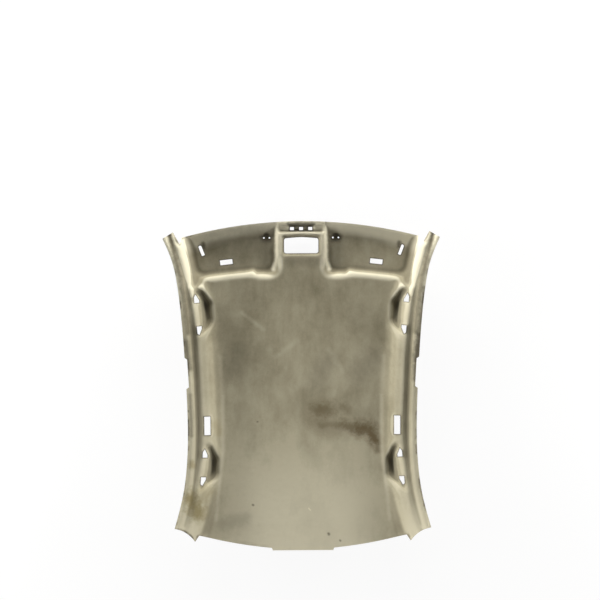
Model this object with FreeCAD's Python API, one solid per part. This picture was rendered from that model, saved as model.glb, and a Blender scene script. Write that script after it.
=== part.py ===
import FreeCAD, Part
import math
import os

# Car headliner panel, press-moulded in one piece. Millimetres.
# The lined face that the passengers see looks up (+Z), the roof side lies below.
# +Y points to the windscreen, X runs across the car, and the panel is symmetric about X = 0.

Vector = FreeCAD.Vector

# Sheet
PANEL_THICKNESS = 6.0

# Outline, front and rear edges
FRONT_APEX_Y = 738.0
FRONT_EDGE_RADIUS = 2000.0
REAR_APEX_Y = -733.0
REAR_EDGE_RADIUS = 1607.0
REAR_EDGE_HALF_WIDTH = 464.0
TONGUE_HALF_WIDTH = 140.0
TONGUE_LENGTH = 5.0

# Outline, windscreen pillar ears
EAR_SLIT_BOTTOM = (543.0, 636.0)
EAR_SLIT_WIDTH = 6.0
EAR_INNER_TIP = (572.0, 689.0)
EAR_OUTER_TIP_Y = 661.0

# Outline, rear pillar horns
HORN_OUTER_TIP_Y = -633.0
HORN_ARC_MIDDLE = (520.0, -654.0)
HORN_INNER_TIP = (482.0, -694.0)
HORN_SLIT_BOTTOM_Y = -668.0

# Outline, half width of the side edge at stations from the ears to the horns
SIDE_EDGE = (
    (HORN_OUTER_TIP_Y, 572.0),
    (-534.0, 543.0),
    (-372.0, 516.0),
    (-170.0, 511.5),
    (0.0, 518.0),
    (195.0, 529.0),
    (360.0, 543.0),
    (519.0, 565.0),
    (600.0, 585.0),
    (EAR_OUTER_TIP_Y, 616.0),
)

# Outline, step where the centre pillar trim meets the edge
PILLAR_STEP_FRONT_Y = 128.0
PILLAR_STEP_REAR_Y = -12.0
PILLAR_STEP_DEPTH = 11.0
PILLAR_STEP_RUN = 8.0

# Crown of the field
CROWN_RADIUS = 5500.0

# Side rail, distances inward from the side edge and heights above the crown
RAIL_FOOT_INSET = 155.0
RAIL_RIDGE_INSET = 66.0
RAIL_GROOVE_INSET = 40.0
LIP_WIDTH = 22.0
RAIL_RISE = 44.0
GROOVE_DEPTH = 7.0
LIP_RISE = 11.0

# The rail where it runs into the ears
EAR_BLEND_START_Y = 380.0
EAR_BLEND_END_Y = 560.0
EAR_FOOT_INSET = 100.0
EAR_RIDGE_INSET = 50.0
EAR_GROOVE_INSET = 26.0
EAR_LIP_WIDTH = 13.0
EAR_RAIL_RISE = 60.0
EAR_TIP_RISE = 38.0

# The rail where it runs into the horns
HORN_BLEND_START_Y = -430.0
HORN_BLEND_END_Y = -600.0
HORN_RAIL_RISE = 58.0
HORN_GROOVE_DEPTH = 1.0
HORN_TIP_RISE = 30.0

# Sun visor recesses
VISOR_INNER_X = 126.0
VISOR_OUTER_X = 497.0
VISOR_OUTER_REAR_X = 474.0
VISOR_REAR_Y = 501.0
VISOR_REAR_INNER_Y = 519.0
VISOR_JOG_X = 212.0
VISOR_JOG_DEPTH = 10.0
VISOR_JOG_RUN = 14.0
VISOR_FLOOR_FRONT_GAP = 62.0
VISOR_DEPTH = 20.0
VISOR_WALL_SLOPE = 60.0
VISOR_OUTER_WALL_SLOPE = 64.0
VISOR_FRONT_SLOPE = 15.5
VISOR_FLOOR_RADIUS = 10.0
VISOR_RIM_DROP = 5.0
VISOR_RIM_SLOPE = 30.0
VISOR_OUTER_CORNER_RADIUS = 40.0
VISOR_INNER_CORNER_RADIUS = 34.0
VISOR_JOG_RADIUS = 16.0
VISOR_FRONT_BEND_RADIUS = 900.0

# Seats of the visor clips, in the inner front corners of the visor recesses
CLIP_SEAT_X = 155.0
CLIP_SEAT_Y = 664.0
CLIP_SEAT_RADIUS = 20.0
CLIP_SEAT_WALL_SLOPE = 70.0
CLIP_SEAT_DEPTH = 5.0
CLIP_HOLE_DIAMETER = 8.0
CLIP_HOLE_SPACING = 25.0

# Slots for the visor arms and the vanity lamps
ARM_SLOT_X = 448.0
ARM_SLOT_Y = 608.0
ARM_SLOT_LENGTH = 48.0
ARM_SLOT_WIDTH = 14.5
ARM_SLOT_SLANT = 21.0
ARM_SLOT_END_RADIUS = 7.0
ARM_SLOT_CORNER_RADIUS = 3.0
LAMP_SLOT_X = 337.0
LAMP_SLOT_Y = 556.0
LAMP_SLOT_LENGTH = 56.0
LAMP_SLOT_WIDTH = 22.0
LAMP_SLOT_SLANT = 6.5

# Overhead console opening and the shallow seat around it
CONSOLE_HALF_WIDTH = 77.0
CONSOLE_REAR_Y = 594.0
CONSOLE_FRONT_Y = 661.0
CONSOLE_FRONT_BOW = 6.0
CONSOLE_CORNER_RADIUS = 10.0
CONSOLE_BOW_RADIUS = 250.0
CONSOLE_SEAT_MARGIN = 4.0
CONSOLE_SEAT_FRONT_MARGIN = 12.0
CONSOLE_SEAT_DEPTH = 4.5
CONSOLE_SEAT_RUN = 4.0

# Mirror and sensor recess behind the front edge
SENSOR_HALF_WIDTH = 101.0
SENSOR_REAR_Y = 693.0
SENSOR_FRONT_Y = 723.0
SENSOR_DEPTH = 10.0
SENSOR_WALL_RUN = 7.0
SENSOR_WELL_HALF_WIDTH = 54.0
SENSOR_WELL_DEPTH = 10.0
SENSOR_WELL_RUN = 3.5
SENSOR_WELL_MARGIN = 3.0
SENSOR_HOLE_LENGTH = 18.0
SENSOR_HOLE_WIDTH = 14.0
SENSOR_HOLE_PITCH = 41.0
SENSOR_HOLE_Y = 705.0

# Grab handle pockets in the rails
FRONT_HANDLE_Y = 320.0
FRONT_HANDLE_LENGTH = 210.0
REAR_HANDLE_Y = -363.0
REAR_HANDLE_LENGTH = 192.0
HANDLE_OUTER_INSET = 62.0
HANDLE_WIDTH = 46.0
HANDLE_FLOOR_SLOPE = 52.0
HANDLE_WALL_SLOPE = 62.0
HANDLE_TIP_WIDTH = 24.0
HANDLE_NOSE_REACH = 60.0
HANDLE_TAIL_REACH = 64.0
HANDLE_NOSE_RADIUS = 70.0
HANDLE_END_RADIUS = 50.0
HANDLE_FLOOR_RADIUS = 7.0
HANDLE_HOLE_LENGTH = 38.0
HANDLE_HOLE_WIDTH = 21.0
HANDLE_HOLE_END_GAP = 14.0
HANDLE_HOLE_SIDE_GAP = 2.0
HANDLE_HOLE_TIP_INSET = 8.0
HANDLE_HOLE_INNER_TAPER = 26.6
FRONT_HOLE_OUTER_TAPER = 13.3
REAR_HOLE_OUTER_TAPER = 5.7

# Reading lamp slots in the rails behind the centre pillars
READING_SLOT_INSET = 86.0
READING_SLOT_Y = -178.0
READING_SLOT_LENGTH = 83.0
READING_SLOT_WIDTH = 27.0

# Sections that shape the skin, and working margins of the moulding tools
HORN_SECTION_COUNT = 3
MIDDLE_SECTION_COUNT = 6
EAR_SECTION_COUNT = 4
SLOPE_SHARES = (0.35, 0.75)
FOOT_OVERRUN = 6.0
FOOT_DIVE = 0.3
CURL_LIMIT = 1.25
ANGLE_STEP = 20.0
LEAST_UPWARD = 0.01
CORNER_SHARE = 0.48
MOULD_MARGIN = 25.0
MOULD_DEPTH = 90.0
TOOL_HEIGHT = 75.0
PIERCE_HEIGHT = MOULD_DEPTH + 4 * TOOL_HEIGHT


def smooth(t):
    """Ease from 0 to 1 with level ends."""
    t = min(max(t, 0.0), 1.0)
    return t * t * (3.0 - 2.0 * t)


def between(start, end, t):
    return start + (end - start) * t


def eased_line(stations, value):
    """Value of a smooth line through (position, level) stations, straight past its ends."""
    if value <= stations[0][0]:
        low, high = stations[0], stations[1]
        return between(low[1], high[1], (value - low[0]) / (high[0] - low[0]))
    if value >= stations[-1][0]:
        low, high = stations[-2], stations[-1]
        return between(low[1], high[1], (value - low[0]) / (high[0] - low[0]))
    index = 0
    while stations[index + 1][0] < value:
        index += 1
    low, high = stations[index], stations[index + 1]
    before = stations[max(index - 1, 0)]
    after = stations[min(index + 2, len(stations) - 1)]
    span = high[0] - low[0]
    t = (value - low[0]) / span
    leaving = (high[1] - before[1]) / (high[0] - before[0]) * span
    arriving = (after[1] - low[1]) / (after[0] - low[0]) * span
    bend = high[1] - low[1]
    square = 3 * bend - 2 * leaving - arriving
    cube = leaving + arriving - 2 * bend
    return low[1] + t * (leaving + t * (square + t * cube))


def side_half_width(y):
    return eased_line(SIDE_EDGE, y)


def side_angle(y):
    """Angle of the side edge to the car's length, in degrees."""
    spread = side_half_width(y + ANGLE_STEP) - side_half_width(y - ANGLE_STEP)
    return math.degrees(math.atan(spread / (2 * ANGLE_STEP)))


def front_edge_y(x):
    return FRONT_APEX_Y - x * x / (2 * FRONT_EDGE_RADIUS)


def rear_edge_y(x):
    return REAR_APEX_Y + x * x / (2 * REAR_EDGE_RADIUS)


def ear_share(y):
    return smooth((y - EAR_BLEND_START_Y) / (EAR_BLEND_END_Y - EAR_BLEND_START_Y))


def horn_share(y):
    return smooth((y - HORN_BLEND_START_Y) / (HORN_BLEND_END_Y - HORN_BLEND_START_Y))


def crown_height(x, y):
    return CROWN_RADIUS - math.sqrt(CROWN_RADIUS**2 - x * x - y * y)


def curl(t):
    """Rise of a rolled border: a parabola up to the edge at t = 1, levelling off just past it."""
    t = min(max(t, 0.0), CURL_LIMIT)
    return t * t


def tip_rise(inset, foot, t):
    """Extra rise of an ear or horn towards its tip."""
    return curl(t) * smooth((foot - inset) / foot)


def rail_profile(y):
    """Insets and heights of the rail's section at station y, from its foot to the edge."""
    ear = ear_share(y)
    horn = horn_share(y)
    rise = between(between(RAIL_RISE, EAR_RAIL_RISE, ear), HORN_RAIL_RISE, horn)
    groove_depth = between(GROOVE_DEPTH, HORN_GROOVE_DEPTH, horn)
    foot = (between(RAIL_FOOT_INSET, EAR_FOOT_INSET, ear), 0.0)
    ridge = (between(RAIL_RIDGE_INSET, EAR_RIDGE_INSET, ear), rise)
    groove = (between(RAIL_GROOVE_INSET, EAR_GROOVE_INSET, ear), rise - groove_depth)
    lip = (between(LIP_WIDTH, EAR_LIP_WIDTH, ear), rise + LIP_RISE)
    return foot, ridge, groove, lip


def rail_height(inset, y):
    """Height of the rail above the crown at a distance inward from the side edge."""
    profile = rail_profile(y)
    foot, lip = profile[0], profile[-1]
    ear_t = (y - EAR_BLEND_END_Y) / (EAR_INNER_TIP[1] - EAR_BLEND_END_Y)
    horn_t = (y - HORN_BLEND_END_Y) / (HORN_INNER_TIP[1] - HORN_BLEND_END_Y)
    extra = EAR_TIP_RISE * tip_rise(inset, foot[0], ear_t)
    extra += HORN_TIP_RISE * tip_rise(inset, foot[0], horn_t)
    if inset >= foot[0]:
        return extra - (inset - foot[0]) * FOOT_DIVE
    if inset <= lip[0]:
        return lip[1] + extra
    for inner, outer in zip(profile, profile[1:]):
        if inset >= outer[0]:
            t = (inner[0] - inset) / (inner[0] - outer[0])
            return between(inner[1], outer[1], smooth(t)) + extra
    return extra


def section_insets(y):
    """Insets of the section's points, close together where the rail bends."""
    foot, ridge, groove, lip = [point[0] for point in rail_profile(y)]
    slope = [between(ridge, foot, share) for share in SLOPE_SHARES]
    return [0.0, lip, groove, ridge] + slope + [foot + FOOT_OVERRUN]


def skin_section(y):
    """Points of the rail's section at station y, from the right edge to the field."""
    width = side_half_width(y)
    return [
        Vector(width - inset, y, crown_height(width - inset, y) + rail_height(inset, y))
        for inset in section_insets(y)
    ]


def skin_stations():
    """Stations of the sections, close together at the horns, the ears and the header."""
    zones = [
        (REAR_APEX_Y - MOULD_MARGIN, HORN_BLEND_START_Y, HORN_SECTION_COUNT),
        (HORN_BLEND_START_Y, EAR_BLEND_START_Y, MIDDLE_SECTION_COUNT),
        (EAR_BLEND_START_Y, FRONT_APEX_Y + MOULD_MARGIN, EAR_SECTION_COUNT),
    ]
    stations = [between(y, end, i / count) for y, end, count in zones for i in range(count)]
    return stations + [FRONT_APEX_Y + MOULD_MARGIN]


def guide_curve(points):
    """Smooth lengthwise curve drawn by the sections' points."""
    degree = 3
    spans = len(points) - degree
    knots = [float(index) for index in range(spans + 1)]
    counts = [degree + 1] + [1] * (spans - 1) + [degree + 1]
    curve = Part.BSplineCurve()
    curve.buildFromPolesMultsKnots(points, counts, knots, False, degree)
    return curve.toShape()


def rail_block():
    """Right rail with its lip, groove, ear and horn: ruled strips between lengthwise curves."""
    sections = [skin_section(y) for y in skin_stations()]
    guides = [guide_curve(list(points)) for points in zip(*sections)]
    strips = [Part.makeRuledSurface(outer, inner) for outer, inner in zip(guides, guides[1:])]
    return pressed_solid(strips, MOULD_DEPTH)


def crown_block():
    """Block under the hollow crown of the field, part of a large sphere; it ends inside the rails."""
    right = [(side_half_width(y) - rail_profile(y)[1][0], y) for y in skin_stations()]
    left = [(-x, y) for x, y in reversed(right)]
    corners = [Vector(x, y, -MOULD_DEPTH) for x, y in right + left + right[:1]]
    block = Part.Face(Part.makePolygon(corners)).extrude(Vector(0, 0, PIERCE_HEIGHT))
    centre = Vector(0, 0, CROWN_RADIUS)
    return block.cut(Part.makeSphere(CROWN_RADIUS, centre, Vector(0, 1, 0)))


def mirrored(shape):
    return shape.mirror(Vector(0, 0, 0), Vector(1, 0, 0))


def pressed_solid(faces, depth):
    """Solid between a skin of faces and its copy moved straight down."""
    drop = Vector(0, 0, -depth)
    skin = Part.Shell(faces)
    skin.sewShape()
    rim = [edge for edge in skin.Edges if len(skin.ancestorsOfType(edge, Part.Face)) == 1]
    walls = [edge.extrude(drop) for edge in rim]
    closed = Part.Shell(skin.Faces + walls + skin.translated(drop).Faces)
    closed.sewShape()
    solid = Part.Solid(closed)
    if solid.Volume < 0:
        solid.reverse()
    return solid


def offset_outline(points, runs):
    """Move each side of a counter-clockwise outline outward by its own run."""
    count = len(points)
    lines = []
    for index, start in enumerate(points):
        end = points[(index + 1) % count]
        length = math.hypot(end[0] - start[0], end[1] - start[1])
        ux = (end[0] - start[0]) / length
        uy = (end[1] - start[1]) / length
        lines.append((start[0] + uy * runs[index], start[1] - ux * runs[index], ux, uy))
    moved = []
    for index in range(count):
        ax, ay, aux, auy = lines[index - 1]
        bx, by, bux, buy = lines[index]
        t = ((bx - ax) * buy - (by - ay) * bux) / (aux * buy - auy * bux)
        moved.append((ax + aux * t, ay + auy * t))
    return moved


def rounded_wire(points, radii, z=0.0):
    """Closed wire through the outline's corners, each rounded by its own radius, or sharp at 0.

    A radius is limited by the shorter side that meets at its corner.
    """
    count = len(points)
    lift = Vector(0, 0, z)
    lengths = [math.dist(points[index], points[(index + 1) % count]) for index in range(count)]
    bends = []
    for index, corner in enumerate(points):
        here = Vector(*corner, 0)
        back = (Vector(*points[index - 1], 0) - here).normalize()
        onward = (Vector(*points[(index + 1) % count], 0) - here).normalize()
        half = back.getAngle(onward) / 2
        room = min(lengths[index - 1], lengths[index]) * CORNER_SHARE
        reach = min(radii[index] / math.tan(half), room)
        radius = reach * math.tan(half)
        middle = (back + onward).normalize() * (radius / math.sin(half) - radius)
        bends.append([here + move + lift for move in (back * reach, middle, onward * reach)])
    edges = []
    for index, (start, middle, end) in enumerate(bends):
        if radii[index] > 0:
            edges.append(Part.Arc(start, middle, end).toShape())
        edges.append(Part.LineSegment(end, bends[(index + 1) % count][0]).toShape())
    return Part.Wire(edges)


def press_tool(points, radii, levels):
    """Press tool lofted through levels of (height, run of each side from the floor outline)."""
    wires = [rounded_wire(offset_outline(points, runs), radii, height) for height, runs in levels]
    return Part.makeLoft(wires, True, True)


def rolled_wall(depth, slope, floor_radius, rim_drop, rim_slope):
    """Profile of a recess wall as (height, run): floor bend, straight wall and eased rim."""
    steep = math.radians(slope)
    bend_height = floor_radius * (1 - math.cos(steep))
    bend_run = floor_radius * math.sin(steep)
    wall_top = max(depth - rim_drop, bend_height)
    wall_run = bend_run + (wall_top - bend_height) / math.tan(steep)
    rim_run = wall_run + (TOOL_HEIGHT - wall_top) / math.tan(math.radians(rim_slope))
    return [(0.0, 0.0), (bend_height, bend_run), (wall_top, wall_run), (TOOL_HEIGHT, rim_run)]


def crown_tilt(shape, x, y):
    """Lean a tool built at the origin with the crown, and stand it at (x, y)."""
    shape = shape.copy()
    shape.rotate(Vector(0, 0, 0), Vector(1, 0, 0), math.degrees(math.asin(y / CROWN_RADIUS)))
    shape.rotate(Vector(0, 0, 0), Vector(0, 1, 0), -math.degrees(math.asin(x / CROWN_RADIUS)))
    shape.translate(Vector(x, y, crown_height(x, y)))
    return shape


def about(points, x, y):
    return [(px - x, py - y) for px, py in points]


def upright(points, radii):
    """Upright prism over an outline, tall enough to pierce the panel anywhere."""
    wire = rounded_wire(points, radii, -MOULD_DEPTH)
    return Part.Face(wire).extrude(Vector(0, 0, PIERCE_HEIGHT))


def box_outline(length_x, length_y):
    return [
        (-length_x / 2, -length_y / 2),
        (length_x / 2, -length_y / 2),
        (length_x / 2, length_y / 2),
        (-length_x / 2, length_y / 2),
    ]


def placed(shape, x, y, angle=0.0):
    shape = shape.copy()
    shape.rotate(Vector(0, 0, 0), Vector(0, 0, 1), angle)
    shape.translate(Vector(x, y, 0))
    return shape


def visor_tool():
    """Right sun visor recess with its soft front slope, rolled rim and clip seat."""
    front_gap = VISOR_FLOOR_FRONT_GAP
    middle_x = (VISOR_INNER_X + VISOR_OUTER_X) / 2
    inner_front = (VISOR_INNER_X, front_edge_y(VISOR_INNER_X) - front_gap)
    outer_front = (VISOR_OUTER_X, front_edge_y(VISOR_OUTER_X) - front_gap)
    bend_y = FRONT_APEX_Y - front_gap - VISOR_INNER_X * VISOR_OUTER_X / (2 * FRONT_EDGE_RADIUS)
    floor = [
        (VISOR_OUTER_REAR_X, VISOR_REAR_Y),
        outer_front,
        (middle_x, bend_y),
        inner_front,
        (VISOR_INNER_X, VISOR_REAR_INNER_Y),
        (VISOR_JOG_X - VISOR_JOG_RUN, VISOR_REAR_INNER_Y),
        (VISOR_JOG_X, VISOR_REAR_INNER_Y + VISOR_JOG_DEPTH),
    ]
    radii = [VISOR_OUTER_CORNER_RADIUS, 0.0, VISOR_FRONT_BEND_RADIUS, 0.0]
    radii += [VISOR_INNER_CORNER_RADIUS, VISOR_JOG_RADIUS, VISOR_JOG_RADIUS]
    outer_slope = 1 / math.tan(math.radians(VISOR_OUTER_WALL_SLOPE))
    front_slope = 1 / math.tan(math.radians(VISOR_FRONT_SLOPE))
    wall = rolled_wall(
        VISOR_DEPTH, VISOR_WALL_SLOPE, VISOR_FLOOR_RADIUS, VISOR_RIM_DROP, VISOR_RIM_SLOPE
    )
    levels = []
    for height, run in wall:
        front_run = height * front_slope
        levels.append((height, [height * outer_slope, front_run, front_run, run, run, run, run]))
    x, y = middle_x, (VISOR_REAR_Y + outer_front[1]) / 2
    tool = crown_tilt(press_tool(about(floor, x, y), radii, levels), x, y)
    return tool.translated(Vector(0, 0, -VISOR_DEPTH))


def clip_seat_tool():
    """Round level seat of the right visor clip, sunk below the visor floor."""
    base = crown_height(CLIP_SEAT_X, CLIP_SEAT_Y) - VISOR_DEPTH - CLIP_SEAT_DEPTH
    top = CLIP_SEAT_RADIUS + TOOL_HEIGHT / math.tan(math.radians(CLIP_SEAT_WALL_SLOPE))
    seat = Part.makeCone(CLIP_SEAT_RADIUS, top, TOOL_HEIGHT)
    return seat.translated(Vector(CLIP_SEAT_X, CLIP_SEAT_Y, base))


def console_tool():
    """Shallow seat around the overhead console opening."""
    front = CONSOLE_SEAT_FRONT_MARGIN
    side = CONSOLE_SEAT_MARGIN
    middle = (CONSOLE_FRONT_Y + CONSOLE_REAR_Y) / 2
    floor = offset_outline(about(console_outline(), 0.0, middle), [side, side, front, front, side])
    radii = [CONSOLE_CORNER_RADIUS] * 5
    radii[3] = CONSOLE_BOW_RADIUS
    runs = [CONSOLE_SEAT_RUN * TOOL_HEIGHT / CONSOLE_SEAT_DEPTH] * 5
    tool = press_tool(floor, radii, [(0.0, [0.0] * 5), (TOOL_HEIGHT, runs)])
    return crown_tilt(tool, 0.0, middle).translated(Vector(0, 0, -CONSOLE_SEAT_DEPTH))


def console_outline():
    """Overhead console opening: its front edge is bowed."""
    half = CONSOLE_HALF_WIDTH
    return [
        (-half, CONSOLE_REAR_Y),
        (half, CONSOLE_REAR_Y),
        (half, CONSOLE_FRONT_Y),
        (0.0, CONSOLE_FRONT_Y + CONSOLE_FRONT_BOW),
        (-half, CONSOLE_FRONT_Y),
    ]


def console_opening():
    radii = [CONSOLE_CORNER_RADIUS] * 5
    radii[3] = CONSOLE_BOW_RADIUS
    return upright(console_outline(), radii)


def sensor_tool():
    """Recess for the mirror and its sensor, with a deeper well for the connectors."""
    middle = (SENSOR_FRONT_Y + SENSOR_REAR_Y) / 2
    length = SENSOR_FRONT_Y - SENSOR_REAR_Y
    recess = walled_tool(
        2 * SENSOR_HALF_WIDTH, length, SENSOR_DEPTH, SENSOR_WALL_RUN
    )
    well_length = length - 2 * SENSOR_WELL_MARGIN
    well = walled_tool(2 * SENSOR_WELL_HALF_WIDTH, well_length, SENSOR_WELL_DEPTH, SENSOR_WELL_RUN)
    tool = recess.fuse(well.translated(Vector(0, 0, -SENSOR_WELL_DEPTH)))
    return crown_tilt(tool, 0.0, middle).translated(Vector(0, 0, -SENSOR_DEPTH))


def walled_tool(length_x, length_y, depth, run):
    """Rectangular press tool with sides that lean out by one run per depth."""
    top = [run * TOOL_HEIGHT / depth] * 4
    levels = [(0.0, [0.0] * 4), (TOOL_HEIGHT, top)]
    return press_tool(box_outline(length_x, length_y), [0.0] * 4, levels)


def sensor_holes():
    hole = upright(box_outline(SENSOR_HOLE_LENGTH, SENSOR_HOLE_WIDTH), [0.0] * 4)
    return [placed(hole, index * SENSOR_HOLE_PITCH, SENSOR_HOLE_Y) for index in (-1, 0, 1)]


def handle_outline(length):
    """Plan of a grab handle pocket: straight outer side at x = 0, rounded nose inward."""
    return [
        (0.0, -length / 2),
        (0.0, length / 2),
        (-HANDLE_TIP_WIDTH, length / 2),
        (-HANDLE_WIDTH, length / 2 - HANDLE_NOSE_REACH),
        (-HANDLE_WIDTH, -length / 2 + HANDLE_TAIL_REACH),
    ]


def handle_tool(y, length):
    """Right grab handle pocket: its floor dives inward from the ridge to a steep wall."""
    plan = handle_outline(length)
    radii = [0.0, 0.0, HANDLE_END_RADIUS] + [HANDLE_NOSE_RADIUS] * 2
    steep = math.radians(HANDLE_WALL_SLOPE)
    bend_height = HANDLE_FLOOR_RADIUS * (1 - math.cos(steep))
    bend_run = HANDLE_FLOOR_RADIUS * math.sin(steep)
    top_run = bend_run + (TOOL_HEIGHT - bend_height) / math.tan(steep)
    levels = [(0.0, [0.0] * 5), (bend_height, [bend_run] * 5), (TOOL_HEIGHT, [top_run] * 5)]
    tool = press_tool(plan, radii, levels)
    shear = FreeCAD.Matrix()
    shear.A31 = math.tan(math.radians(HANDLE_FLOOR_SLOPE))
    tool = placed(tool.transformGeometry(shear), handle_x(y), y, -side_angle(y))
    return tool.translated(Vector(0, 0, handle_height(y)))


def handle_x(y):
    return side_half_width(y) - HANDLE_OUTER_INSET


def handle_height(y):
    x = handle_x(y)
    return crown_height(x, y) + rail_height(HANDLE_OUTER_INSET, y)


def handle_holes(y, length):
    """Holes for the handle's feet, in the outer corners of its pocket."""
    outer = -HANDLE_HOLE_SIDE_GAP
    inner = outer - HANDLE_HOLE_WIDTH
    tip = (outer - HANDLE_HOLE_TIP_INSET, 0.0)
    far = HANDLE_HOLE_LENGTH
    taper = HANDLE_HOLE_INNER_TAPER
    front = [(outer, -far), (outer, -FRONT_HOLE_OUTER_TAPER), tip, (inner, -taper), (inner, -far)]
    rear = [(outer, far), (inner, far), (inner, taper), tip, (outer, REAR_HOLE_OUTER_TAPER)]
    end = length / 2 - HANDLE_HOLE_END_GAP
    radii = [0.0] * 5
    holes = [
        upright([(px, py + end) for px, py in front], radii),
        upright([(px, py - end) for px, py in rear], radii),
    ]
    return [placed(hole, handle_x(y), y, -side_angle(y)) for hole in holes]


def slots():
    """Upright slots on the right side: visor arm, vanity lamp, reading lamp and clip holes."""
    arm = upright(
        box_outline(ARM_SLOT_WIDTH, ARM_SLOT_LENGTH),
        [ARM_SLOT_CORNER_RADIUS] * 2 + [ARM_SLOT_END_RADIUS] * 2,
    )
    lamp = upright(box_outline(LAMP_SLOT_LENGTH, LAMP_SLOT_WIDTH), [0.0] * 4)
    reading = upright(box_outline(READING_SLOT_WIDTH, READING_SLOT_LENGTH), [0.0] * 4)
    reading_x = side_half_width(READING_SLOT_Y) - READING_SLOT_INSET
    clip = Part.makeCylinder(CLIP_HOLE_DIAMETER / 2, PIERCE_HEIGHT, Vector(0, 0, -MOULD_DEPTH))
    return [
        placed(arm, ARM_SLOT_X, ARM_SLOT_Y, -ARM_SLOT_SLANT),
        placed(lamp, LAMP_SLOT_X, LAMP_SLOT_Y, -LAMP_SLOT_SLANT),
        placed(reading, reading_x, READING_SLOT_Y, -side_angle(READING_SLOT_Y)),
        placed(clip, CLIP_SEAT_X - CLIP_HOLE_SPACING / 2, CLIP_SEAT_Y),
        placed(clip, CLIP_SEAT_X + CLIP_HOLE_SPACING / 2, CLIP_SEAT_Y),
    ]


def outline_edges():
    """Right half of the trim line, from the front apex round to the rear tongue.

    It runs clear of the side edge, which the skin has already, apart from the pillar step.
    """
    front_x = EAR_SLIT_BOTTOM[0] - EAR_SLIT_WIDTH
    front_end = Vector(front_x, front_edge_y(front_x), 0)
    front_middle = Vector(front_x / 2, front_edge_y(front_x / 2), 0)
    ear_outer = Vector(side_half_width(EAR_OUTER_TIP_Y), EAR_OUTER_TIP_Y, 0)
    ear_inner = Vector(*EAR_INNER_TIP, 0)
    beyond_ear = ear_outer + (ear_outer - ear_inner)
    clear = beyond_ear.x
    step = [
        (clear, PILLAR_STEP_FRONT_Y),
        (side_half_width(PILLAR_STEP_FRONT_Y), PILLAR_STEP_FRONT_Y),
        (pillar_step_x(PILLAR_STEP_FRONT_Y), PILLAR_STEP_FRONT_Y - PILLAR_STEP_RUN),
        (pillar_step_x(PILLAR_STEP_REAR_Y), PILLAR_STEP_REAR_Y + PILLAR_STEP_RUN),
        (side_half_width(PILLAR_STEP_REAR_Y), PILLAR_STEP_REAR_Y),
        (clear, PILLAR_STEP_REAR_Y),
    ]
    horn_outer = Vector(side_half_width(HORN_OUTER_TIP_Y), HORN_OUTER_TIP_Y, 0)
    horn_middle = Vector(*HORN_ARC_MIDDLE, 0)
    horn_inner = Vector(*HORN_INNER_TIP, 0)
    rear_end = Vector(REAR_EDGE_HALF_WIDTH, HORN_SLIT_BOTTOM_Y, 0)
    tongue_corner = Vector(TONGUE_HALF_WIDTH, rear_edge_y(TONGUE_HALF_WIDTH), 0)
    rear_between = (REAR_EDGE_HALF_WIDTH + TONGUE_HALF_WIDTH) / 2
    rear_middle = Vector(rear_between, rear_edge_y(rear_between), 0)
    tongue_end = Vector(TONGUE_HALF_WIDTH - TONGUE_LENGTH, REAR_APEX_Y - TONGUE_LENGTH, 0)
    ear = [front_end, Vector(*EAR_SLIT_BOTTOM, 0), ear_inner, beyond_ear]
    ear += [Vector(*point, 0) for point in step] + [Vector(clear, HORN_OUTER_TIP_Y, 0), horn_outer]
    tongue = [tongue_corner, tongue_end, Vector(0, REAR_APEX_Y - TONGUE_LENGTH, 0)]
    edges = [Part.Arc(Vector(0, FRONT_APEX_Y, 0), front_middle, front_end).toShape()]
    edges += Part.makePolygon(ear).Edges
    edges.append(Part.Arc(horn_outer, horn_middle, horn_inner).toShape())
    edges.append(Part.LineSegment(horn_inner, rear_end).toShape())
    edges.append(Part.Arc(rear_end, rear_middle, tongue_corner).toShape())
    return edges + Part.makePolygon(tongue).Edges


def pillar_step_x(y):
    return side_half_width(y) - PILLAR_STEP_DEPTH


def outline_prism():
    right = outline_edges()
    left = [mirrored(edge) for edge in right]
    wire = Part.Wire(Part.__sortEdges__(right + left))
    face = Part.Face(wire).translated(Vector(0, 0, -MOULD_DEPTH))
    return face.extrude(Vector(0, 0, PIERCE_HEIGHT))


def lined_skin():
    """Faces of the lined side, pressed, pierced and trimmed to the outline."""
    rail = rail_block()
    block = crown_block().fuse([rail, mirrored(rail)])
    handles = [(FRONT_HANDLE_Y, FRONT_HANDLE_LENGTH), (REAR_HANDLE_Y, REAR_HANDLE_LENGTH)]
    right = [visor_tool(), clip_seat_tool()] + [handle_tool(y, length) for y, length in handles]
    pierced = slots()
    for y, length in handles:
        pierced += handle_holes(y, length)
    tools = right + pierced
    tools += [mirrored(tool) for tool in tools]
    tools += [console_tool(), sensor_tool(), console_opening()] + sensor_holes()
    moulded = block.common(outline_prism()).cut(tools)
    return [face for face in moulded.Faces if looks_up(face)]


def looks_up(face):
    low_u, high_u, low_v, high_v = face.ParameterRange
    return face.normalAt((low_u + high_u) / 2, (low_v + high_v) / 2).z > LEAST_UPWARD


def headliner_panel():
    panel = pressed_solid(lined_skin(), PANEL_THICKNESS)
    box = panel.optimalBoundingBox(False, False)
    middle_y = (FRONT_APEX_Y + REAR_APEX_Y - TONGUE_LENGTH) / 2
    return panel.translated(Vector(0, -middle_y, -box.ZMin))


os.makedirs("parts", exist_ok=True)
headliner_panel().exportStep("parts/headliner_panel.step")
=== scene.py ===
# %% [markdown]
# # A used car headliner, seen from above
# A headliner is the one large panel that lines a car's roof. A sheet of knit fabric on thin foam
# is pressed together with a stiff fibre core in a hot mould, so recesses, rails and pockets are
# all bends of the same sheet. The panel was modelled at its real size as a solid. This lesson
# loads that solid and dresses it: an even, soft mesh for the fabric, then its finish and light.

# %% Load the modelled panel
import math

import bmesh
import bpy
import numpy as np
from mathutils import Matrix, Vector, kdtree, noise
from mathutils.bvhtree import BVHTree
from mathutils.geometry import delaunay_2d_cdt


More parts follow.
